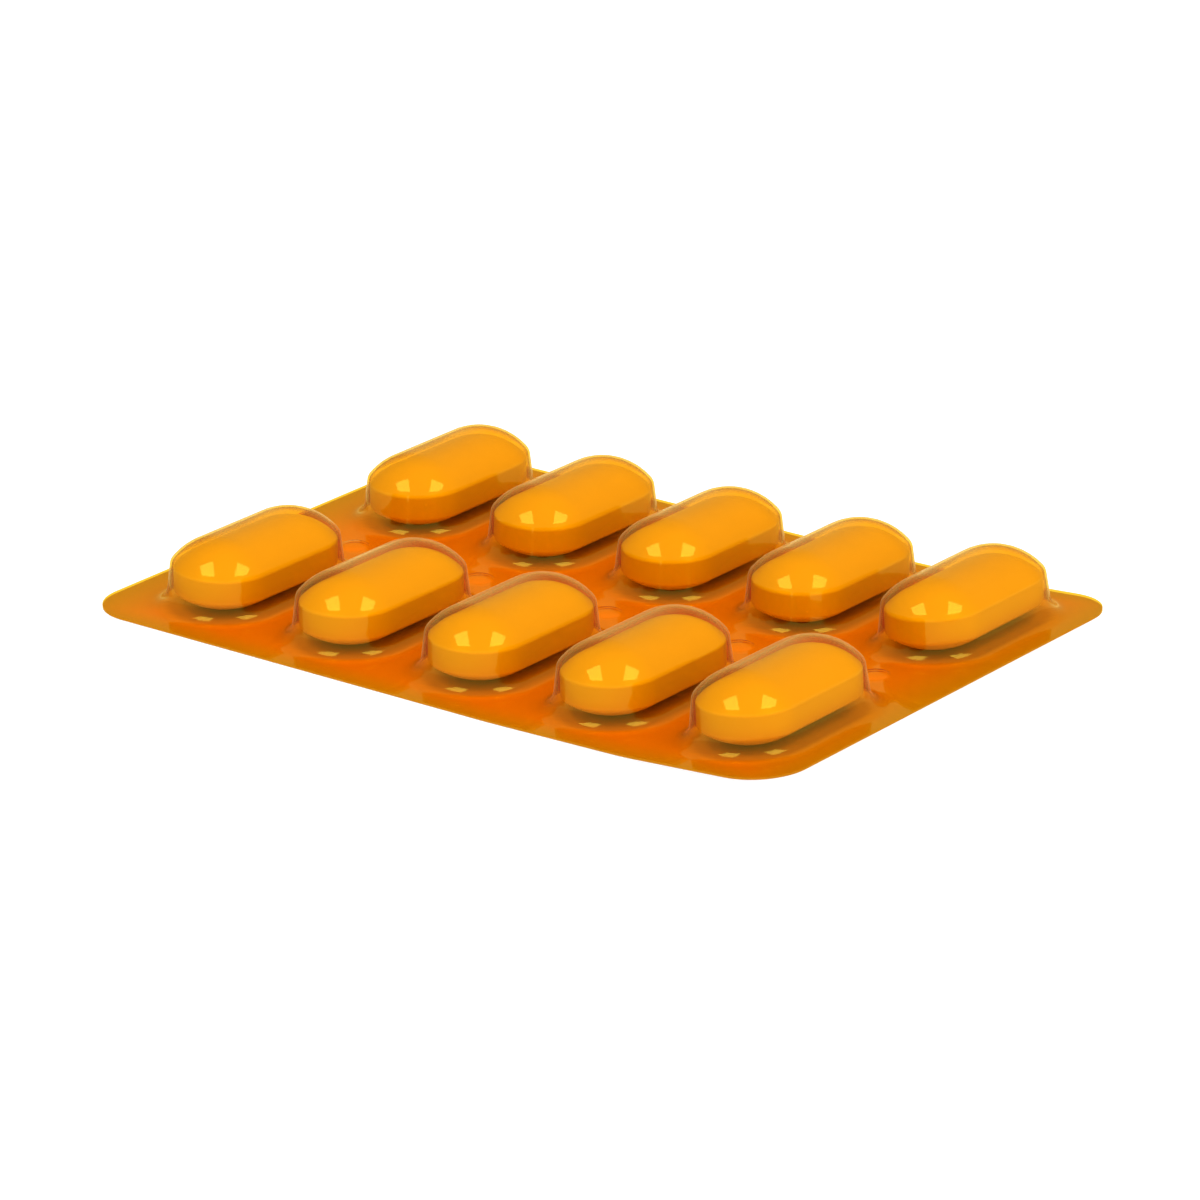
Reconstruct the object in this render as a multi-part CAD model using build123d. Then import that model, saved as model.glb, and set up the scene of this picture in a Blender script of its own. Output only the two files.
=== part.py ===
from build123d import *
import math
import os

# Push-through blister pack: a thermoformed film with ten oblong pockets, its lidding foil and ten tablets.
# Lengths are in millimetres, angles in degrees. X runs along the sheet from its wide margin to its
# narrow one, Y across it towards the back row, and Z up. The origin is the middle of the underside.

# Tablet: a stadium in plan, with a straight side band between two shallow cups
tablet_length = 20.5
tablet_width = 10.3
band_height = 1.9
cup_depth = 2.3

# Room for the tablet in its pocket
side_clearance = 0.19
end_clearance = 0.19
crown_clearance = 0.8
rest_gap = 0.02

# Film and foil
film_thickness = 0.25
pocket_wall = 0.2
foil_thickness = 0.05

# Pocket
wall_draft = 7.0
crown_rise = 2.7
shoulder_radius = 0.9
foot_flare = 0.85
foot_land = 1.0

# Sheet
column_count = 5
row_count = 2
web_width = 4.4
row_gap = 9.7
wide_margin = 5.05
narrow_margin = 3.35
side_margin = 3.6
corner_radius = 5.5

# The sheet curls up in the webs next to its narrow margin: the bend in each web, from that end inwards
web_bend_angles = (2.8, 1.1)

# Small stiffening bosses on the centre line, one to a column
boss_half_width = 1.6
boss_height = 0.5
boss_rise = 0.2
boss_draft = 55.0

# How each tablet has settled: its place along the pocket as a share of the end clearance, and its
# roll in degrees on its lower cup, front row first and from the wide margin in each row
settle_shares = (0.4, -0.3, 0.2, -0.5, 0.5, -0.6, 0.1, -0.2, 0.3, -0.4)
settle_rolls = (0.8, -0.6, 0.3, -0.9, 0.5, -0.4, 0.9, -0.2, 0.6, -0.8)

# Overrun of cuts and trims
overrun = 1.0

# Worked out from the sizes above
tablet_thickness = band_height + 2 * cup_depth
cup_radius = ((tablet_width / 2) ** 2 + cup_depth**2) / (2 * cup_depth)
tablet_straight = tablet_length - tablet_width
band_top = rest_gap + cup_depth + band_height
draft_slope = math.tan(math.radians(wall_draft))
cavity_half_width = tablet_width / 2 + side_clearance + band_top * draft_slope
cavity_height = rest_gap + tablet_thickness + crown_clearance
pocket_straight = tablet_straight + 2 * (end_clearance - side_clearance)
pocket_half_width = cavity_half_width + pocket_wall / math.cos(math.radians(wall_draft))
pocket_width = 2 * pocket_half_width
pocket_length = pocket_width + pocket_straight
column_pitch = pocket_width + web_width
row_pitch = pocket_length + row_gap
bend_run = web_width - 2 * foot_land
sheet_length = (column_count - 1) * column_pitch + pocket_width + wide_margin + narrow_margin
sheet_width = (row_count - 1) * row_pitch + pocket_length + 2 * side_margin
film_top = foil_thickness + film_thickness
cavity_flare = foot_flare + (film_thickness + pocket_wall) * (1 - math.sqrt(1 / 2))
shoulder_ease = shoulder_radius / 2 - pocket_wall


def column_frames():
    """Frame of each column on the sheet's underside: X along the sheet, Z out of it, and its slope."""
    frames = []
    x, z, slope = wide_margin + pocket_half_width - sheet_length / 2, 0, 0
    for column in range(column_count):
        angle = math.radians(slope)
        along, out = (math.cos(angle), 0, math.sin(angle)), (-math.sin(angle), 0, math.cos(angle))
        frames.append((Plane(origin=(x, 0, z), x_dir=along, z_dir=out), slope))
        web = column_count - 2 - column
        bend = web_bend_angles[web] if 0 <= web < len(web_bend_angles) else 0
        arc = math.radians(bend)
        chord = bend_run * (math.sin(arc / 2) / (arc / 2) if arc else 1)
        flat = (column_pitch - bend_run) / 2
        middle = angle + arc / 2
        x += flat * (math.cos(angle) + math.cos(angle + arc)) + chord * math.cos(middle)
        z += flat * (math.sin(angle) + math.sin(angle + arc)) + chord * math.sin(middle)
        slope += bend
    return frames


frames = column_frames()


def at_frame(place, along, height):
    """Point of the side view, in X and Z, from a column's frame."""
    point = place.from_local_coords(Vector(along, 0, height))
    return (point.X, point.Z)


def sheet_line(height):
    """Side-view line of the sheet at a height above its underside: flat runs and an arc in each bent web."""
    edges = []
    flat = (column_pitch - bend_run) / 2
    start = at_frame(frames[0][0], -(pocket_half_width + wide_margin + overrun), height)
    for (here, slope), (there, next_slope) in zip(frames, frames[1:]):
        leave = at_frame(here, flat, height)
        edges.append(Line(start, leave))
        start = at_frame(there, -flat, height)
        if next_slope == slope:
            edges.append(Line(leave, start))
        else:
            bend = next_slope - slope
            tangent = (math.cos(math.radians(slope)), math.sin(math.radians(slope)))
            radius = bend_run / math.radians(bend) - height
            edges.append(JernArc(leave, tangent, radius, bend))
            start = edges[-1] @ 1
    end = at_frame(frames[-1][0], pocket_half_width + narrow_margin + overrun, height)
    edges.append(Line(start, end))
    return edges


def sheet_layer(low, high):
    """One layer of the sheet between two heights, curled and trimmed to its round-cornered outline."""
    below, above = sheet_line(low), sheet_line(high)
    ends = [Line(below[0] @ 0, above[0] @ 0), Line(below[-1] @ 1, above[-1] @ 1)]
    side_view = make_face(below + above + ends)
    layer = extrude(Plane.XZ * side_view, sheet_width / 2 + overrun, both=True)
    outline = RectangleRounded(sheet_length, sheet_width, corner_radius)
    return layer & extrude(Pos(0, 0, -overrun) * outline, sheet_length)


def cup_profile(half_width, height, rise, slope):
    """Section of a cup from its foot up: walls leaning in by the slope and an arched crown."""
    corner_height = height - rise
    corner = half_width - corner_height * slope
    walls = Polyline((-corner, corner_height), (-half_width, 0), (half_width, 0), (corner, corner_height))
    crown = ThreePointArc((corner, corner_height), (0, height), (-corner, corner_height))
    return make_face([walls, crown])


def pocket_profile(wall):
    """Section of a pocket from the film's underside up: of its cavity, or of its outside one wall further out."""
    half_width = cavity_half_width + wall / math.cos(math.radians(wall_draft))
    return cup_profile(half_width, cavity_height + wall, crown_rise, draft_slope)


def flared(profile, low, high, flare):
    """The profile standing on a plate from low to high and flared into the plate's top."""
    reach = pocket_half_width + foot_land
    plate = Pos(0, (low + high) / 2) * Rectangle(2 * reach, high - low)
    section = plate + profile
    on_top = section.vertices().sort_by(lambda vertex: abs(vertex.Y - high))[:4]
    return chamfer(on_top.sort_by(lambda vertex: abs(vertex.X))[:2], flare)


def round_ended(section, straight):
    """Solid of a symmetric section along a straight run in Y, with the same section turned at both ends."""
    upright = Plane.XZ * section
    half = split(upright, bisect_by=Plane.YZ, keep=Keep.TOP)
    middle = extrude(upright, straight / 2, both=True)
    back = Pos(0, straight / 2, 0) * revolve(half, Axis.Z, 180)
    front = Pos(0, -straight / 2, 0) * revolve(half, Axis.Z, -180)
    return middle + back + front


def pocket():
    """Outside of one pocket with a round shoulder, its foot flared into the film's top."""
    profile = pocket_profile(pocket_wall)
    rounded = fillet(profile.vertices().sort_by(Axis.Y)[2:], shoulder_radius)
    return round_ended(flared(rounded, 0, film_thickness, foot_flare), pocket_straight)


def pocket_cavity():
    """Cavity of one pocket, open to the foil, with the film's thickness kept round its foot."""
    profile = pocket_profile(0)
    eased = chamfer(profile.vertices().sort_by(Axis.Y)[2:], shoulder_ease)
    return round_ended(flared(eased, -overrun, 0, cavity_flare), pocket_straight)


def boss(wall):
    """One shallow round boss from the film's underside up: its hollow, or its outside one wall further out."""
    wider = wall / math.cos(math.radians(boss_draft))
    slope = math.tan(math.radians(boss_draft))
    profile = cup_profile(boss_half_width + wider, boss_height + wall, boss_rise, slope)
    return revolve(split(Plane.XZ * profile, bisect_by=Plane.YZ, keep=Keep.TOP), Axis.Z, 360)


def film_places():
    """Every pocket's place on the film's underside, front row first and from the wide margin."""
    rows = [(row - (row_count - 1) / 2) * row_pitch for row in range(row_count)]
    return [Location(place) * Pos(0, y, foil_thickness) for y in rows for place, slope in frames]


def forming_film():
    """The film: a curled sheet with its pockets and bosses drawn out of it."""
    centres = [Location(place) * Pos(0, 0, foil_thickness) for place, slope in frames]
    outside, hollow = pocket(), pocket_cavity()
    film = sheet_layer(foil_thickness, film_top)
    film += [place * outside for place in film_places()] + [place * boss(pocket_wall) for place in centres]
    return film - ([place * hollow for place in film_places()] + [place * boss(0) for place in centres])


def tablet():
    """One tablet standing on its lower cup at the origin, its long axis in Y."""
    half, low, high = tablet_width / 2, cup_depth, cup_depth + band_height
    bands = [Line((half, low), (half, high)), Line((-half, high), (-half, low))]
    top = ThreePointArc((half, high), (0, tablet_thickness), (-half, high))
    bottom = ThreePointArc((-half, low), (0, 0), (half, low))
    return round_ended(make_face(bands + [top, bottom]), tablet_straight)


def settled(share, roll):
    """A tablet's own shift along its pocket and its roll about the centre of its lower cup."""
    shift = Pos(0, share * end_clearance, rest_gap)
    return shift * Pos(0, 0, cup_radius) * Rot(0, roll, 0) * Pos(0, 0, -cup_radius)


os.makedirs("parts", exist_ok=True)
export_step(forming_film(), "parts/forming_film.step")
export_step(sheet_layer(0, foil_thickness), "parts/lidding_foil.step")
loose = tablet()
for number, (place, share, roll) in enumerate(zip(film_places(), settle_shares, settle_rolls), start=1):
    export_step(place * settled(share, roll) * loose, f"parts/tablet_{number:02d}.step")
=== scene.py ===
import math

import bpy
from mathutils import Matrix, Vector


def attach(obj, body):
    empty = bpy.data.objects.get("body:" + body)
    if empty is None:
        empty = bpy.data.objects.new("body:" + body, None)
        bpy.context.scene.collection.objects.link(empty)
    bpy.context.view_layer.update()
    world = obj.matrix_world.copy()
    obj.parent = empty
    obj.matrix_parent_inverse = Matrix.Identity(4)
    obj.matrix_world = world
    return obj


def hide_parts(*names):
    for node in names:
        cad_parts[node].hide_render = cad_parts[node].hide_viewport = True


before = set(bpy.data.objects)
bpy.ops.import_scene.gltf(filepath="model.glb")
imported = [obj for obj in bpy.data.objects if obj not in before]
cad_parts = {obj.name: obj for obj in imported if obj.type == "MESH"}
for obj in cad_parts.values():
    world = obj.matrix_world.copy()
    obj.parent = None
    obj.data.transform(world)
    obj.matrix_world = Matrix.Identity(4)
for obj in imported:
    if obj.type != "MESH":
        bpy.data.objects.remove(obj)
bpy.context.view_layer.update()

# Push-through blister pack. Sizes are in millimetres, as in the solids, apart from the studio's floor and
# softboxes, and they are turned to metres where a piece is placed. X runs along the sheet from its wide
# margin to its narrow one, and Y across it to the back row.
MM = 0.001

# Tablet, a stadium in plan
TABLET_LENGTH = 20.5
TABLET_WIDTH = 10.3
BAND_HEIGHT = 1.9
CUP_DEPTH = 2.3
BAND_EDGE = 0.4
# The lower cup turns in lower down than the solid's, as a compound cup does
LOWER_CUP = 1.75
# How each tablet has settled, front row first: its place along the pocket as a share of the end
# clearance, and its roll in degrees on its lower cup
SETTLE_SHARES = (0.4, -0.3, 0.2, -0.5, 0.5, -0.6, 0.1, -0.2, 0.3, -0.4)
SETTLE_ROLLS = (0.8, -0.6, 0.3, -0.9, 0.5, -0.4, 0.9, -0.2, 0.6, -0.8)

# Room for the tablet in its pocket
SIDE_CLEARANCE = 0.19
END_CLEARANCE = 0.19
CROWN_CLEARANCE = 0.8
REST_GAP = 0.02

# Film and foil; a hair of air keeps their meeting faces apart
FILM_THICKNESS = 0.25
POCKET_WALL = 0.2
FOIL_THICKNESS = 0.05
SEAL_GAP = 0.01
FILM_TOP = FOIL_THICKNESS + FILM_THICKNESS
FILM_BOTTOM = FOIL_THICKNESS + SEAL_GAP

# Pocket
WALL_DRAFT = 7.0
CROWN_RISE = 2.7
SHOULDER_RADIUS = 0.9
FOOT_RADIUS = 1.8
FOOT_LAND = 1.0

# Sheet
COLUMNS = 5
WEB_WIDTH = 4.4
ROW_GAP = 9.7
WIDE_MARGIN = 5.05
NARROW_MARGIN = 3.35
SIDE_MARGIN = 3.6
CORNER_RADIUS = 5.5
# How far the sheet curls up in each web, from the wide margin on, in radians
WEB_BENDS = tuple(math.radians(bend) for bend in (0.0, 0.0, 1.1, 2.8))

# Boss
BOSS_HALF_WIDTH = 1.6
BOSS_HEIGHT = 0.5
BOSS_RISE = 0.2
BOSS_DRAFT = 55.0
BOSS_FILLET = 0.35

# Share of a cup's height over which the film thins from its flat gauge to its drawn one
DRAWN_SHARE = 0.35
# How far a boss thins the film, against a pocket
BOSS_THINNED = 0.15
# How far in from its ends the flat film's tint is darkened as painted shade, and how many times less
# far along its sides
EDGE_SHADE_REACH = 7.0
SIDE_SHADE_SCALE = 2.0
# Width at a pocket's rim over which the foil passes from sealed and knurled to loose, plain and darkened
# by painted shade
SEAL_FADE = 0.8

# Reach of a pocket's cell of the sheet to each side of the pocket's centre
CELL_REACH = 13.2

# Divisions of a ring: of an eighth of a turn, and of its straight side
EIGHTH = 10
STRAIGHT_STEPS = 8
# Divisions of a cup's section, from its foot up, and of the tablet's side band
FOOT_STEPS = 6
WALL_STEPS = 4
SHOULDER_STEPS = 7
CROWN_STEPS = 8
BAND_STEPS = 3
# Divisions of the sheet: from a cell's edge in to its cup, up the side of a boss's cell, and of the wide,
# narrow and side margins
LAND_STEPS = 4
BOSS_SIDE_STEPS = 8
WIDE_STEPS = 4
NARROW_STEPS = 3
SIDE_STEPS = 3
# Divisions of the foil, along and across
FOIL_STEPS = (130, 92)
# Power that crowds a cell's divisions towards its cup
LAND_CROWDING = 0.8
# Power that keeps the sheet's grid square until close to its round corners
CORNER_HOLD = 3
# Points are welded where they agree to the nearest of this many parts of a millimetre
WELD_PARTS = 1000
# Steepest turn, in degrees, that is shaded smooth on the sheets and on the tablets
SHEET_SMOOTH = 40
TABLET_SMOOTH = 60

# Worked out from the sizes above
WALL_SLOPE = math.tan(math.radians(WALL_DRAFT))
BOSS_SLOPE = math.tan(math.radians(BOSS_DRAFT))
TABLET_THICKNESS = BAND_HEIGHT + 2 * CUP_DEPTH
TABLET_STRAIGHT = TABLET_LENGTH - TABLET_WIDTH
CUP_RADIUS = ((TABLET_WIDTH / 2) ** 2 + CUP_DEPTH**2) / (2 * CUP_DEPTH)
WALL_SECANT = math.hypot(1, WALL_SLOPE)
BAND_TOP = REST_GAP + CUP_DEPTH + BAND_HEIGHT
CAVITY_HALF_WIDTH = TABLET_WIDTH / 2 + SIDE_CLEARANCE + BAND_TOP * WALL_SLOPE
CAVITY_HEIGHT = REST_GAP + TABLET_THICKNESS + CROWN_CLEARANCE
POCKET_STRAIGHT = TABLET_STRAIGHT + 2 * (END_CLEARANCE - SIDE_CLEARANCE)
POCKET_HALF_WIDTH = CAVITY_HALF_WIDTH + POCKET_WALL * WALL_SECANT
POCKET_LENGTH = 2 * POCKET_HALF_WIDTH + POCKET_STRAIGHT
PITCH = 2 * POCKET_HALF_WIDTH + WEB_WIDTH
ROW_PITCH = POCKET_LENGTH + ROW_GAP
BEND_RUN = WEB_WIDTH - 2 * FOOT_LAND
FLAT_REACH = (PITCH - BEND_RUN) / 2
SHEET_LENGTH = (COLUMNS - 1) * PITCH + 2 * POCKET_HALF_WIDTH + WIDE_MARGIN + NARROW_MARGIN
SHEET_WIDTH = ROW_PITCH + POCKET_LENGTH + 2 * SIDE_MARGIN
SHEET_START = -(POCKET_HALF_WIDTH + WIDE_MARGIN)
SHEET_END = SHEET_START + SHEET_LENGTH
ROWS = (-ROW_PITCH / 2, ROW_PITCH / 2)


def column_frames():
    """Place in X and Z, and slope, of each column's centre on the sheet's underside."""
    places = [(WIDE_MARGIN + POCKET_HALF_WIDTH - SHEET_LENGTH / 2, 0.0, 0.0)]
    for bend in WEB_BENDS:
        x, z, slope = places[-1]
        middle = slope + bend / 2
        chord = BEND_RUN * (math.sin(bend / 2) / (bend / 2) if bend else 1)
        x += FLAT_REACH * (math.cos(slope) + math.cos(slope + bend)) + chord * math.cos(middle)
        z += FLAT_REACH * (math.sin(slope) + math.sin(slope + bend)) + chord * math.sin(middle)
        places.append((x, z, slope + bend))
    return places


COLUMN_FRAMES = column_frames()


def bent(along, across, height):
    """Place in the frame, in metres, of a point of the flat sheet: along it from the first column,
    across it from its centre line, and above its underside."""
    column = min(max(math.floor((along + FLAT_REACH) / PITCH), 0), COLUMNS - 1)
    x, z, slope = COLUMN_FRAMES[column]
    local = along - column * PITCH
    run = min(local, FLAT_REACH) if column < COLUMNS - 1 else local
    x += run * math.cos(slope)
    z += run * math.sin(slope)
    angle = slope
    if run < local:
        beyond = local - run
        angle = slope + WEB_BENDS[column] * beyond / BEND_RUN
        x += beyond * math.cos((slope + angle) / 2)
        z += beyond * math.sin((slope + angle) / 2)
    return Vector((x - height * math.sin(angle), across, z + height * math.cos(angle))) * MM


def rounded(along, across):
    """The sheet's flat point drawn in where its square corner becomes a round one."""
    middle = (SHEET_START + SHEET_END) / 2
    side_x = math.copysign(1, along - middle)
    side_y = math.copysign(1, across)
    over_x = (abs(along - middle) - (SHEET_LENGTH / 2 - CORNER_RADIUS)) / CORNER_RADIUS
    over_y = (abs(across) - (SHEET_WIDTH / 2 - CORNER_RADIUS)) / CORNER_RADIUS
    if over_x <= 0 or over_y <= 0:
        return along, across
    reach = max(over_x, over_y)
    pull = 1 + (reach / math.hypot(over_x, over_y) - 1) * reach**CORNER_HOLD
    cut_x = over_x * (1 - pull) * CORNER_RADIUS
    cut_y = over_y * (1 - pull) * CORNER_RADIUS
    return along - side_x * cut_x, across - side_y * cut_y


def arc(centre, radius, start, end, steps):
    """Points of an arc in a section, as half-widths and heights."""
    angles = [start + (end - start) * step / steps for step in range(steps + 1)]
    return [(centre[0] + radius * math.cos(a), centre[1] + radius * math.sin(a)) for a in angles]


def foot_arc(base, floor, slope, radius):
    """Concave foot of a cup's wall, from the sheet's surface at height floor up onto the wall."""
    lean = math.atan(slope)
    centre = (base - slope * (floor + radius) + radius * math.hypot(1, slope), floor + radius)
    return arc(centre, radius, math.radians(270), math.pi + lean, FOOT_STEPS)


def crown_arcs(base, top, rise, slope, radius):
    """Round shoulder and arched crown of a cup, from its wall to its centre line."""
    corner = base - slope * (top - rise)
    crown_radius = (corner**2 + rise**2) / (2 * rise)
    level = top - crown_radius
    inset = base - radius * math.hypot(1, slope)
    a = slope**2 + 1
    b = inset * slope + level
    c = inset**2 + level**2 - (crown_radius - radius) ** 2
    height = (b + math.sqrt(b**2 - a * c)) / a
    centre = (inset - slope * height, height)
    meet = math.atan2(height - level, centre[0])
    shoulder = arc(centre, radius, math.atan(slope), meet, SHOULDER_STEPS)
    return shoulder + arc((0, level), crown_radius, meet, math.pi / 2, CROWN_STEPS)[1:]


def between(start, end, steps):
    """Points on the straight run between two points of a section, without its ends."""
    shares = [step / steps for step in range(1, steps)]
    return [tuple(a + (b - a) * share for a, b in zip(start, end)) for share in shares]


def cup_section(base, floor, top, rise, slope, foot_radius, shoulder_radius):
    """Section of a drawn cup from its foot to its centre line, as half-widths and heights."""
    foot = foot_arc(base, floor, slope, foot_radius)
    crown = crown_arcs(base, top, rise, slope, shoulder_radius)
    return foot + between(foot[-1], crown[0], WALL_STEPS) + crown


def stadium(half_width, straight):
    """Ring of a stadium with its long axis across the sheet, from the start of its straight side."""
    ring = []
    for side in (1, -1):
        for step in range(STRAIGHT_STEPS):
            ring.append((side * half_width, side * straight * (step / STRAIGHT_STEPS - 1 / 2)))
        for step in range(4 * EIGHTH):
            turn = math.pi * step / (4 * EIGHTH) + (math.pi if side < 0 else 0)
            ring.append((half_width * math.cos(turn), side * straight / 2 + half_width * math.sin(turn)))
    return ring


def rectangle(half_x, low, high, side_steps, end_steps):
    """Ring of a rectangle from its lower right corner, the same way round as the stadium."""
    ring = []
    for step in range(side_steps):
        ring.append((half_x, low + (high - low) * step / side_steps))
    for step in range(end_steps):
        ring.append((half_x - 2 * half_x * step / end_steps, high))
    for step in range(side_steps):
        ring.append((-half_x, high - (high - low) * step / side_steps))
    for step in range(end_steps):
        ring.append((-half_x + 2 * half_x * step / end_steps, low))
    return ring


def edge_shade_share(along, across):
    """How much painted shade a point of the flat sheet gets near the cut edge: one on it, zero beyond its
    reach.
    """
    inset = min(along - SHEET_START, SHEET_END - along, SIDE_SHADE_SCALE * (SHEET_WIDTH / 2 - abs(across)))
    return max(1 - inset / EDGE_SHADE_REACH, 0.0)


def weld_key(point):
    """What two points have in common when they are to be one."""
    return tuple(round(value * WELD_PARTS) for value in point)


def strip_faces(lower, upper):
    """Faces between two rows of points with the same count, without those that have shrunk to a line."""
    faces = []
    for place in range(len(lower) - 1):
        corners = (lower[place], lower[place + 1], upper[place + 1], upper[place])
        kept = [corner for spot, corner in enumerate(corners) if corner != corners[spot - 1]]
        if len(set(kept)) > 2:
            faces.append(kept)
    return faces


def grid_faces(grid):
    """Faces between successive rows of points."""
    return [face for lower, upper in zip(grid, grid[1:]) for face in strip_faces(lower, upper)]


def ring_faces(rings):
    """Faces between successive closed rings of points."""
    return grid_faces([ring + ring[:1] for ring in rings])


class Shell:
    """A thin sheet grown as pairs of points, one on each side, welded where the outer ones meet.
    Each pair has a share, which the sheet's material reads under the name given here."""

    def __init__(self, share_name):
        self.share_name = share_name
        self.index = {}
        self.outer = []
        self.inner = []
        self.shares = []
        self.faces = []

    def point(self, outer, inner, share):
        """Number of a pair of points, which is new unless its outer point is there already."""
        key = weld_key(outer)
        if key not in self.index:
            self.index[key] = len(self.outer)
            self.outer.append(outer)
            self.inner.append(inner)
            self.shares.append(share)
        return self.index[key]

    def mesh(self, name):
        """The closed mesh: both sides and the cut edge between them."""
        count = len(self.outer)
        points = [bent(*rounded(x, y), h) for x, y, h in self.outer + self.inner]
        faces = list(self.faces)
        faces += [[corner + count for corner in reversed(face)] for face in self.faces]
        seen = {}
        for face in self.faces:
            for place, corner in enumerate(face):
                edge = (face[place - 1], corner)
                seen[frozenset(edge)] = None if frozenset(edge) in seen else edge
        for edge in filter(None, seen.values()):
            start, end = edge
            faces.append([end, start, start + count, end + count])
        mesh = bpy.data.meshes.new(name)
        mesh.from_pydata(points, [], faces)
        shares = mesh.attributes.new(self.share_name, "FLOAT", "POINT")
        shares.data.foreach_set("value", self.shares * 2)
        return mesh


def cell_rings(shell, column, centre, edge, section, inner_section, ring_of, thinned):
    """Rings of one cell of the sheet, from its rectangular edge in to the crown of its cup, where the
    film has thinned by the last value."""
    middle = column * PITCH
    land = ring_of(section[0][0])
    rings = []
    for step in range(LAND_STEPS):
        share = (step / LAND_STEPS) ** LAND_CROWDING
        ring = []
        for (ax, ay), (bx, by) in zip(edge, land):
            x = middle + ax + (bx - ax) * share
            y = centre + ay + (by - ay) * share
            ring.append(shell.point((x, y, FILM_TOP), (x, y, FILM_BOTTOM), 0.0))
        rings.append(ring)
    rise = DRAWN_SHARE * (section[-1][1] - FILM_TOP)
    for (width, height), (inner_width, inner_height) in zip(section, inner_section):
        drawn = thinned * min(max((height - FILM_TOP) / rise, 0.0), 1.0)
        ring = []
        for (ax, ay), (bx, by) in zip(ring_of(width), ring_of(inner_width)):
            outer = (middle + ax, centre + ay, height)
            inner = (middle + bx, centre + by, inner_height)
            ring.append(shell.point(outer, inner, drawn))
        rings.append(ring)
    return rings


def add_piece(name, mesh, smooth_angle, material, node):
    """Adds a piece from its mesh, smooth up to an angle, in place of a node of the frame."""
    mesh.polygons.foreach_set("use_smooth", [True] * len(mesh.polygons))
    mesh.set_sharp_from_angle(angle=math.radians(smooth_angle))
    mesh.materials.append(material)
    piece = bpy.data.objects.new(name, mesh)
    bpy.context.scene.collection.objects.link(piece)
    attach(piece, "root")
    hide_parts(node)


def forming_film(material):
    """The amber film: flat lands, ten drawn pockets and a boss between the rows in each column."""
    shell = Shell("drawn")
    pocket_top = CAVITY_HEIGHT + POCKET_WALL
    outside = cup_section(POCKET_HALF_WIDTH, FILM_THICKNESS, pocket_top, CROWN_RISE, WALL_SLOPE,
                          FOOT_RADIUS, SHOULDER_RADIUS)
    inside = cup_section(CAVITY_HALF_WIDTH, SEAL_GAP, CAVITY_HEIGHT, CROWN_RISE, WALL_SLOPE,
                         FOOT_RADIUS + FILM_THICKNESS, SHOULDER_RADIUS - POCKET_WALL)
    wider = POCKET_WALL * math.hypot(1, BOSS_SLOPE)
    boss_outside = cup_section(BOSS_HALF_WIDTH + wider, FILM_THICKNESS, BOSS_HEIGHT + POCKET_WALL,
                               BOSS_RISE, BOSS_SLOPE, BOSS_FILLET, BOSS_FILLET)
    boss_inside = cup_section(BOSS_HALF_WIDTH, SEAL_GAP, BOSS_HEIGHT, BOSS_RISE,
                              BOSS_SLOPE, BOSS_FILLET, BOSS_FILLET)
    side_steps = STRAIGHT_STEPS + 2 * EIGHTH
    end_steps = 2 * EIGHTH
    edge = rectangle(PITCH / 2, -CELL_REACH, CELL_REACH, side_steps, end_steps)
    gap_reach = ROW_PITCH / 2 - CELL_REACH
    boss_edge = rectangle(PITCH / 2, -gap_reach, gap_reach, BOSS_SIDE_STEPS, end_steps)

    def from_foil(section):
        return [(width, height + FOIL_THICKNESS) for width, height in section]

    def pocket_ring(half_width):
        # The stadium starts at its straight side, the cell's edge one eighth of a turn before it
        ring = stadium(half_width, POCKET_STRAIGHT)
        return ring[-EIGHTH:] + ring[:-EIGHTH]

    def boss_ring(radius):
        ring = []
        for quarter, steps in enumerate((BOSS_SIDE_STEPS, end_steps) * 2):
            for step in range(steps):
                turn = math.pi / 2 * (quarter + step / steps) - math.pi / 4
                ring.append((radius * math.cos(turn), radius * math.sin(turn)))
        return ring

    for column in range(COLUMNS):
        for row in ROWS:
            shell.faces += ring_faces(cell_rings(shell, column, row, edge, from_foil(outside),
                                                 from_foil(inside), pocket_ring, 1.0))
        shell.faces += ring_faces(cell_rings(shell, column, 0.0, boss_edge, from_foil(boss_outside),
                                             from_foil(boss_inside), boss_ring, BOSS_THINNED))
    margins(shell, side_steps, end_steps)
    mesh = shell.mesh("forming_film_skin")
    # Painted shade: the undrawn film's tint darkens towards the sheet's cut edge
    flat = [(1 - drawn) * edge_shade_share(x, y) for (x, y, h), drawn in zip(shell.outer, shell.shares)]
    painted_edge_shade = mesh.attributes.new("painted_edge_shade", "FLOAT", "POINT")
    painted_edge_shade.data.foreach_set("value", flat * 2)
    add_piece("forming_film_skin", mesh, SHEET_SMOOTH, material, "forming_film")


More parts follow.
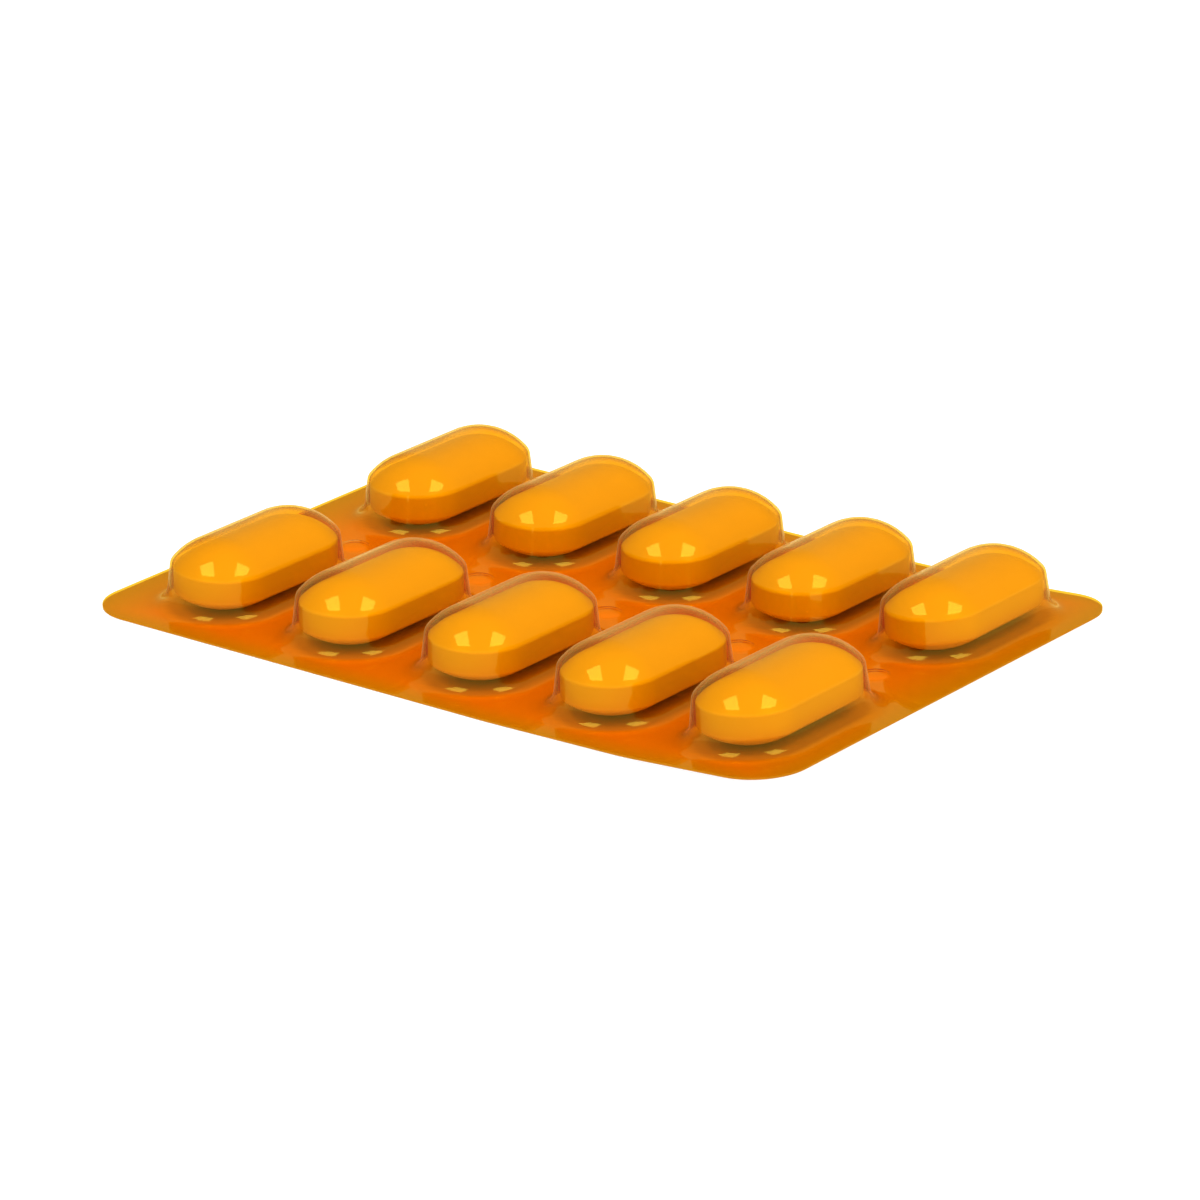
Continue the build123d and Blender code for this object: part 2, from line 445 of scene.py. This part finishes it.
def margins(shell, side_steps, end_steps):
    """Strips of the sheet between its cells and its cut edge."""
    cells_end = (COLUMNS - 1) * PITCH + PITCH / 2
    columns = [-PITCH / 2 + PITCH * step / end_steps for step in range(COLUMNS * end_steps + 1)]
    left = [SHEET_START + (-PITCH / 2 - SHEET_START) * step / WIDE_STEPS for step in range(WIDE_STEPS)]
    outwards = range(1, NARROW_STEPS + 1)
    right = [cells_end + (SHEET_END - cells_end) * step / NARROW_STEPS for step in outwards]
    far = ROW_PITCH / 2 + CELL_REACH
    near = ROW_PITCH / 2 - CELL_REACH
    pocket_lines = [near + 2 * CELL_REACH * step / side_steps for step in range(side_steps + 1)]
    boss_lines = [-near + 2 * near * step / BOSS_SIDE_STEPS for step in range(1, BOSS_SIDE_STEPS)]
    lines = [-line for line in reversed(pocket_lines)] + boss_lines + pocket_lines
    outwards = range(1, SIDE_STEPS + 1)
    edge_lines = [far + (SHEET_WIDTH / 2 - far) * step / SIDE_STEPS for step in outwards]
    rows = [-line for line in reversed(edge_lines)] + lines + edge_lines

    def strip(xs, ys):
        grid = [[shell.point((x, y, FILM_TOP), (x, y, FILM_BOTTOM), 0.0) for x in xs] for y in ys]
        shell.faces += grid_faces(grid)

    strip(left + [-PITCH / 2], rows)
    strip([cells_end] + right, rows)
    strip(columns, rows[:len(edge_lines) + 1])
    strip(columns, rows[-len(edge_lines) - 1:])


def lidding_foil(material):
    """The foil under the film: sealed and knurled on the lands, loose and plain under each pocket."""
    shell = Shell("loose")
    along, across = FOIL_STEPS
    columns = [SHEET_START + SHEET_LENGTH * step / along for step in range(along + 1)]
    rows = [SHEET_WIDTH * (step / across - 1 / 2) for step in range(across + 1)]
    grid = []
    for y in rows:
        line = []
        for x in columns:
            column = min(max(round(x / PITCH), 0), COLUMNS - 1)
            row = min(ROWS, key=lambda centre: abs(centre - y))
            beyond = max(abs(y - row) - POCKET_STRAIGHT / 2, 0.0)
            depth = CAVITY_HALF_WIDTH - math.hypot(x - column * PITCH, beyond)
            # This share also darkens the foil's colour under each pocket as painted shade beneath the
            # tablets
            loose = min(max(depth / SEAL_FADE + 1 / 2, 0.0), 1.0)
            line.append(shell.point((x, y, FOIL_THICKNESS), (x, y, 0.0), loose))
        grid.append(line)
    shell.faces += grid_faces(grid)
    add_piece("lidding_foil_sheet", shell.mesh("lidding_foil_sheet"), SHEET_SMOOTH, material,
              "lidding_foil")


def tablet_mesh(name):
    """One tablet standing on its lower cup: two cups and a side band with softened edges."""
    half = TABLET_WIDTH / 2
    upper = crown_arcs(half, TABLET_THICKNESS, CUP_DEPTH, 0.0, BAND_EDGE)
    under = crown_arcs(half, TABLET_THICKNESS, LOWER_CUP, 0.0, BAND_EDGE)
    lower = [(width, TABLET_THICKNESS - height) for width, height in reversed(under)]
    section = lower + between(lower[-1], upper[0], BAND_STEPS) + upper
    points = []
    index = {}
    rings = []
    for width, height in section:
        ring = []
        for x, y in stadium(width, TABLET_STRAIGHT):
            key = weld_key((x, y, height))
            if key not in index:
                index[key] = len(points)
                points.append((x, y, height))
            ring.append(index[key])
        rings.append(ring)
    mesh = bpy.data.meshes.new(name)
    mesh.from_pydata(points, [], ring_faces(rings))
    return mesh


def tablets(material):
    """Ten tablets, each settled a little differently in its pocket."""
    places = [(column, row) for row in ROWS for column in range(COLUMNS)]
    for number, (column, row) in enumerate(places):
        share, roll = SETTLE_SHARES[number], SETTLE_ROLLS[number]
        x, z, slope = COLUMN_FRAMES[column]
        place = Matrix.Translation(Vector((x, row, z)))
        place @= Matrix.Rotation(-slope, 4, "Y")
        place @= Matrix.Translation(Vector((0, share * END_CLEARANCE, FOIL_THICKNESS + REST_GAP)))
        place @= Matrix.Translation(Vector((0, 0, CUP_RADIUS)))
        place @= Matrix.Rotation(math.radians(roll), 4, "Y")
        place @= Matrix.Translation(Vector((0, 0, -CUP_RADIUS)))
        name = f"coated_tablet_{number + 1:02d}"
        mesh = tablet_mesh(name)
        mesh.transform(Matrix.Scale(MM, 4) @ place)
        add_piece(name, mesh, TABLET_SMOOTH, material, f"tablet_{number + 1:02d}")


def linear(colour):
    """A hex sRGB colour as linear RGBA."""
    shares = [int(colour[place:place + 2], 16) / 255 for place in (1, 3, 5)]
    return [c / 12.92 if c <= 0.04045 else ((c + 0.055) / 1.055) ** 2.4 for c in shares] + [1.0]


def node(material, kind, sockets=None, **settings):
    """Adds a node with its properties and its sockets' values or links, given by name or number."""
    added = material.node_tree.nodes.new(kind)
    for name, value in settings.items():
        setattr(added, name, value)
    for socket, value in (sockets or {}).items():
        if isinstance(value, bpy.types.NodeSocket):
            material.node_tree.links.new(value, added.inputs[socket])
        else:
            added.inputs[socket].default_value = value
    return added


# Numbers of a colour mix's two inputs and of its result
MIX_A, MIX_B, MIXED = 6, 7, 2


def new_material(name):
    """An empty node material and its output."""
    material = bpy.data.materials.new(name)
    material.use_nodes = True
    material.node_tree.nodes.clear()
    return material, node(material, "ShaderNodeOutputMaterial")


# Share of the light that the film mirrors when it is seen square on
PVC_MIRROR = 0.052
# Powers of how edge on the film is seen, by which its tint deepens, it mirrors more and its haze shows
PVC_DEEPENING = 3.0
PVC_GLANCE = 8.0
PVC_HAZING = 4.8


def amber_pvc():
    """Thermoformed clear amber PVC: very glossy and tinted by its thickness. The pockets are paler, where
    the film is drawn thin, and faintly milky where they are seen edge on; towards its cut edge, painted
    shade darkens the flat film's tint."""
    material, output = new_material("amber_pvc_film")
    drawn = node(material, "ShaderNodeAttribute", attribute_name="drawn")
    painted_edge_shade = node(material, "ShaderNodeAttribute", attribute_name="painted_edge_shade")
    edge_on = node(material, "ShaderNodeLayerWeight", {"Blend": 0.5})
    facing = edge_on.outputs["Facing"]
    slanted = node(material, "ShaderNodeMath", {0: facing, 1: PVC_DEEPENING}, operation="POWER")
    grazing = node(material, "ShaderNodeMath", {0: facing, 1: PVC_GLANCE}, operation="POWER")
    milky = node(material, "ShaderNodeMath", {0: facing, 1: PVC_HAZING}, operation="POWER")
    geometry = node(material, "ShaderNodeNewGeometry")
    outside = node(material, "ShaderNodeMath", {0: 1.0, 1: geometry.outputs["Backfacing"]},
                   operation="SUBTRACT")

    tint = node(material, "ShaderNodeMix", {"Factor": drawn.outputs["Fac"], MIX_A: linear("#FED062"),
                                            MIX_B: linear("#FFE568")}, data_type="RGBA")
    # Painted shade: the flat film's tint is mixed towards a darker colour near the cut edge
    edge_shaded_tint = node(material, "ShaderNodeMix", {"Factor": painted_edge_shade.outputs["Fac"],
                                              MIX_A: tint.outputs[MIXED],
                                              MIX_B: linear("#F1D46C")}, data_type="RGBA")
    deep = node(material, "ShaderNodeMix", {"Factor": slanted.outputs[0], MIX_A: edge_shaded_tint.outputs[MIXED],
                                            MIX_B: linear("#DDC650")}, data_type="RGBA")
    clear = node(material, "ShaderNodeBsdfTransparent", {"Color": deep.outputs[MIXED]})

    sheen = node(material, "ShaderNodeMix", {"Factor": grazing.outputs[0], MIX_A: linear("#FFEF59"),
                                             MIX_B: linear("#FFF6E0")}, data_type="RGBA")
    gloss = node(material, "ShaderNodeBsdfGlossy", {"Color": sheen.outputs[MIXED], "Roughness": 0.015})
    mirror = node(material, "ShaderNodeMath", {0: grazing.outputs[0], 1: 1 - PVC_MIRROR, 2: PVC_MIRROR},
                  operation="MULTIPLY_ADD")
    mirrored = node(material, "ShaderNodeMath", {0: mirror.outputs[0], 1: outside.outputs[0]},
                    operation="MULTIPLY")
    glossy = node(material, "ShaderNodeMixShader", {0: mirrored.outputs[0], 1: clear.outputs[0],
                                                    2: gloss.outputs[0]})

    veil = node(material, "ShaderNodeMath", {0: milky.outputs[0], 1: drawn.outputs["Fac"]},
                operation="MULTIPLY")
    veiled = node(material, "ShaderNodeMath", {0: veil.outputs[0], 1: outside.outputs[0]},
                  operation="MULTIPLY")
    haze = node(material, "ShaderNodeBsdfDiffuse", {"Color": linear("#E8AE60")})
    hazy = node(material, "ShaderNodeMixShader", {0: veiled.outputs[0], 1: glossy.outputs[0],
                                                  2: haze.outputs[0]})
    material.node_tree.links.new(hazy.outputs[0], output.inputs["Surface"])
    return material


# The sealing plate's knurl in the foil: its pitch, and how deep it is pressed
KNURL_PITCH = 0.9
KNURL_DEPTH = 0.05


def hard_foil():
    """Hard-temper aluminium lidding foil: satin metal, knurled by the sealing plate where it is sealed to
    the film, and plain where it is loose under the pockets, where painted shade makes its colour darker
    and browner."""
    material, output = new_material("hard_aluminium_foil")
    loose = node(material, "ShaderNodeAttribute", attribute_name="loose")
    coordinates = node(material, "ShaderNodeTexCoord")
    cells = 1 / (KNURL_PITCH * MM)
    turned = node(material, "ShaderNodeMapping", {"Vector": coordinates.outputs["Object"],
                                                  "Rotation": (0.0, 0.0, math.radians(45)),
                                                  "Scale": (cells, cells, cells)})
    knurl = node(material, "ShaderNodeTexVoronoi", {"Vector": turned.outputs[0], "Scale": 1.0,
                                                    "Randomness": 0.0}, distance="CHEBYCHEV")
    sealed = node(material, "ShaderNodeMath", {0: 1.0, 1: loose.outputs["Fac"]}, operation="SUBTRACT")
    height = node(material, "ShaderNodeMath", {0: knurl.outputs["Distance"], 1: sealed.outputs[0]},
                  operation="MULTIPLY")
    bump = node(material, "ShaderNodeBump", {"Height": height.outputs[0], "Strength": 0.25,
                                             "Distance": KNURL_DEPTH * MM})
    # Painted shade: the foil's colour is darker and browner where it is loose under the pockets
    lacquer_and_painted_shade = node(material, "ShaderNodeMix", {"Factor": loose.outputs["Fac"], MIX_A: linear("#FAF8F4"),
                                               MIX_B: linear("#D3C3AA")}, data_type="RGBA")
    metal = node(material, "ShaderNodeBsdfPrincipled", {"Base Color": lacquer_and_painted_shade.outputs[MIXED],
                                                        "Metallic": 0.3, "Roughness": 0.5,
                                                        "Normal": bump.outputs[0]})
    material.node_tree.links.new(metal.outputs[0], output.inputs["Surface"])
    return material


# Size of the tablets' uneven patches of colour, and the width and depth of their coat's orange peel
MOTTLE_SIZE = 3.0
PEEL_SIZE = 0.6
PEEL_DEPTH = 0.02


def film_coating():
    """Film-coated tablet: a smooth satin coat, pale yellow and orange only through the amber film, with
    a faint orange peel and slightly uneven colour."""
    material, output = new_material("yellow_tablet_coating")
    coordinates = node(material, "ShaderNodeTexCoord")
    mottle = node(material, "ShaderNodeTexNoise", {"Vector": coordinates.outputs["Object"],
                                                   "Scale": 1 / (MOTTLE_SIZE * MM), "Detail": 3.0})
    colour = node(material, "ShaderNodeMix", {"Factor": mottle.outputs[0], MIX_A: linear("#E4D692"),
                                              MIX_B: linear("#E9DC9C")}, data_type="RGBA")
    peel = node(material, "ShaderNodeTexNoise", {"Vector": coordinates.outputs["Object"],
                                                 "Scale": 1 / (PEEL_SIZE * MM), "Detail": 2.0})
    bump = node(material, "ShaderNodeBump", {"Height": peel.outputs[0], "Strength": 0.15,
                                             "Distance": PEEL_DEPTH * MM})
    coat = node(material, "ShaderNodeBsdfPrincipled", {"Base Color": colour.outputs[MIXED],
                                                       "Roughness": 0.3, "Normal": bump.outputs[0]})
    material.node_tree.links.new(coat.outputs[0], output.inputs["Surface"])
    return material


def seen_directly(material):
    """One where the camera sees a surface, by itself, mirrored or through something clear; else zero."""
    path = node(material, "ShaderNodeLightPath")
    mirrored = node(material, "ShaderNodeMath", {0: path.outputs["Is Camera Ray"],
                                                 1: path.outputs["Is Glossy Ray"]}, operation="MAXIMUM")
    through = node(material, "ShaderNodeMath", {0: mirrored.outputs[0],
                                                1: path.outputs["Is Transmission Ray"]},
                   operation="MAXIMUM")
    return through.outputs[0]


# Brightness that the floor's paper is given where it is seen, on top of the light that falls on it
FLOOR_GLOW = 0.7
# The floor, in metres: its radius, and how far it lies under the pack; and the sides of its outline
FLOOR_RADIUS = 2.5
FLOOR_DROP = 0.00005
FLOOR_SIDES = 96


def floor_paper():
    """Matt white paper sweep: it keeps the pack's soft shadow, and the camera sees the rest as white."""
    material, output = new_material("white_paper_sweep")
    paper = node(material, "ShaderNodeBsdfDiffuse", {"Color": linear("#D4D4D4")})
    strength = node(material, "ShaderNodeMath", {0: seen_directly(material), 1: FLOOR_GLOW},
                    operation="MULTIPLY")
    glow = node(material, "ShaderNodeEmission", {"Color": linear("#FFFFFF"),
                                                 "Strength": strength.outputs[0]})
    both = node(material, "ShaderNodeAddShader", {0: paper.outputs[0], 1: glow.outputs[0]})
    material.node_tree.links.new(both.outputs[0], output.inputs["Surface"])
    return material


def studio_floor():
    """A wide round floor under the pack."""
    turns = [2 * math.pi * side / FLOOR_SIDES for side in range(FLOOR_SIDES)]
    rim = [(FLOOR_RADIUS * math.cos(turn), FLOOR_RADIUS * math.sin(turn), -FLOOR_DROP) for turn in turns]
    faces = [[0, side + 1, (side + 1) % FLOOR_SIDES + 1] for side in range(FLOOR_SIDES)]
    mesh = bpy.data.meshes.new("studio_floor")
    mesh.from_pydata([(0, 0, -FLOOR_DROP)] + rim, [], faces)
    mesh.materials.append(floor_paper())
    floor = bpy.data.objects.new("studio_floor", mesh)
    bpy.context.scene.collection.objects.link(floor)


# Camera: where it looks from, what it looks at, and the photograph's point where that shows
CAMERA_AZIMUTH = 36.86
CAMERA_ELEVATION = 20.63
CAMERA_DISTANCE = 644.0
CAMERA_TARGET = (0.85, 0.0, 0.3)
PHOTO_SIZE = 1200
TARGET_PIXEL = (607.5, 612.6)
FOCAL_PIXELS = 6333.0
SENSOR_WIDTH = 36.0
NEAR_CLIP = 10.0


def direction(azimuth, elevation):
    """Unit vector towards an azimuth from the front, turning to +X, and an elevation, in degrees."""
    turn, rise = math.radians(azimuth), math.radians(elevation)
    return Vector((math.sin(turn) * math.cos(rise), -math.cos(turn) * math.cos(rise), math.sin(rise)))


def photo_camera():
    """The camera at the photograph's angle, with its small offset of frame."""
    data = bpy.data.cameras.new("photo_camera")
    data.sensor_width = SENSOR_WIDTH
    data.lens = FOCAL_PIXELS / PHOTO_SIZE * SENSOR_WIDTH
    data.shift_x = (PHOTO_SIZE / 2 - TARGET_PIXEL[0]) / PHOTO_SIZE
    data.shift_y = (TARGET_PIXEL[1] - PHOTO_SIZE / 2) / PHOTO_SIZE
    data.clip_start = NEAR_CLIP * MM
    camera = bpy.data.objects.new("photo_camera", data)
    away = direction(CAMERA_AZIMUTH, CAMERA_ELEVATION)
    camera.location = (Vector(CAMERA_TARGET) + away * CAMERA_DISTANCE) * MM
    camera.rotation_euler = away.to_track_quat("Z", "Y").to_euler()
    bpy.context.scene.collection.objects.link(camera)
    bpy.context.scene.camera = camera


# Softboxes, in metres and watts: how far towards the camera and to its left and right they hang from the
# pack's middle, how high, how large they are and how strong
SOFTBOX_TOWARDS = 0.24
SOFTBOX_ASIDE = 0.42
SOFTBOX_HEIGHT = 0.8
SOFTBOX_SIZE = (0.34, 0.46)
SOFTBOX_POWER = 2.4


def softbox(name, side):
    """A softbox hung level over the pack, to the camera's left at side -1 and to its right at side 1."""
    data = bpy.data.lights.new(name, "AREA")
    data.shape = "RECTANGLE"
    data.size, data.size_y = SOFTBOX_SIZE
    data.energy = SOFTBOX_POWER
    lamp = bpy.data.objects.new(name, data)
    to_camera, to_right = direction(CAMERA_AZIMUTH, 0), direction(CAMERA_AZIMUTH + 90, 0)
    lamp.location = to_camera * SOFTBOX_TOWARDS + to_right * (side * SOFTBOX_ASIDE)
    lamp.location.z = SOFTBOX_HEIGHT
    lamp.rotation_euler = (0.0, 0.0, math.radians(CAMERA_AZIMUTH))
    bpy.context.scene.collection.objects.link(lamp)


# The room: its brightness behind the pack and where it is lightest, the direction of that place in
# degrees, and the cosine of the angle within which it is that light
ROOM_BACK = 0.2
ROOM_FRONT = 1.35
ROOM_AZIMUTH = 62.0
ROOM_ELEVATION = 46.0
ROOM_NEAR = 0.95


def studio_light():
    """Two softboxes high at the camera's left and right, in a pale room that is lightest at its right."""
    softbox("left_softbox", -1)
    softbox("right_softbox", 1)
    world = bpy.data.worlds.new("studio_room")
    bpy.context.scene.world = world
    world.use_nodes = True
    world.node_tree.nodes.clear()
    output = node(world, "ShaderNodeOutputWorld")
    coordinates = node(world, "ShaderNodeTexCoord")
    lightest = direction(ROOM_AZIMUTH, ROOM_ELEVATION)
    facing = node(world, "ShaderNodeVectorMath", {0: coordinates.outputs["Generated"], 1: lightest},
                  operation="DOT_PRODUCT")
    wall = node(world, "ShaderNodeMapRange", {"Value": facing.outputs["Value"], "From Min": 0.0,
                                              "From Max": ROOM_NEAR, "To Min": ROOM_BACK,
                                              "To Max": ROOM_FRONT}, interpolation_type="SMOOTHSTEP")
    room = node(world, "ShaderNodeCombineColor", {0: wall.outputs[0], 1: wall.outputs[0],
                                                  2: wall.outputs[0]})
    seen = node(world, "ShaderNodeMix", {"Factor": seen_directly(world), MIX_A: room.outputs[0],
                                         MIX_B: linear("#FFFFFF")}, data_type="RGBA")
    background = node(world, "ShaderNodeBackground", {"Color": seen.outputs[MIXED]})
    world.node_tree.links.new(background.outputs[0], output.inputs["Surface"])


forming_film(amber_pvc())
lidding_foil(hard_foil())
tablets(film_coating())
studio_floor()
photo_camera()
studio_light()
bpy.context.scene.view_settings.view_transform = "Standard"
